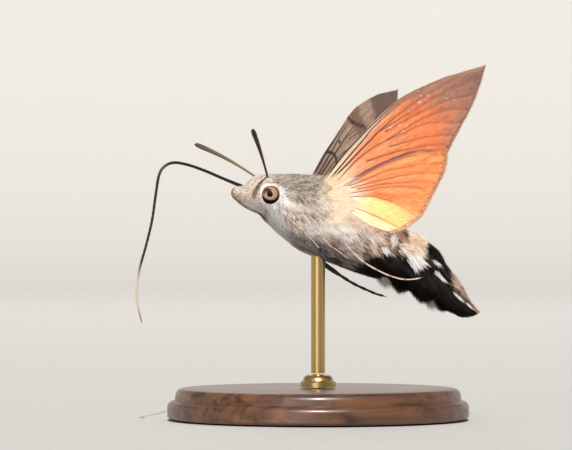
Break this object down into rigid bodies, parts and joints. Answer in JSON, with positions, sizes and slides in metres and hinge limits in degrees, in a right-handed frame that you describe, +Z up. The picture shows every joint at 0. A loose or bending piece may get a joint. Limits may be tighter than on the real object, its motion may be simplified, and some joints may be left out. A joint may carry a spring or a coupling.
{
  "type": "hummingbird hawk moth model",
  "caption": "Life-size still model of a hummingbird hawk moth hovering with raised wings and proboscis hanging forward, held over a round base by a thin rod.",
  "frame": {"origin": "centre of the flat underside of the stand's base", "axes": "+Z up; -X towards the moth's head, +X towards its tail; -Y to the moth's left, +Y to its right"},
  "size_m": [0.041, 0.034, 0.0398],
  "materials": {
    "coat_grey": "grey-brown hair",
    "coat_pale": "cream and grey hair",
    "coat_dark": "black-brown hair",
    "wing_brown": "matt scales",
    "wing_orange": "matt scales",
    "chitin_dark": "satin horn",
    "eye": "polished",
    "stand_wood": "satin lacquer",
    "stand_brass": "satin"
  },
  "bodies": {
    "root": {"abdomen_front": "coat_pale", "abdomen_rear": "coat_dark", "antenna_left": "chitin_dark", "antenna_right": "chitin_dark", "eye_left": "eye", "eye_right": "eye", "forewing_left": "wing_brown", "forewing_right": "wing_brown", "head": "coat_grey", "hindwing_left": "wing_orange", "hindwing_right": "wing_orange", "leg_fore_left": "chitin_dark", "leg_fore_right": "chitin_dark", "leg_hind_left": "chitin_dark", "leg_hind_right": "chitin_dark", "leg_middle_left": "chitin_dark", "leg_middle_right": "chitin_dark", "palp_left": "coat_pale", "palp_right": "coat_pale", "proboscis_bend": "chitin_dark", "proboscis_root": "chitin_dark", "proboscis_tip": "chitin_dark", "stand_base": "stand_wood", "stand_collar": "stand_brass", "stand_rod": "stand_brass", "tail_fan_left": "coat_dark", "tail_fan_right": "coat_dark", "thorax": "coat_grey"}
  },
  "joints": []
}
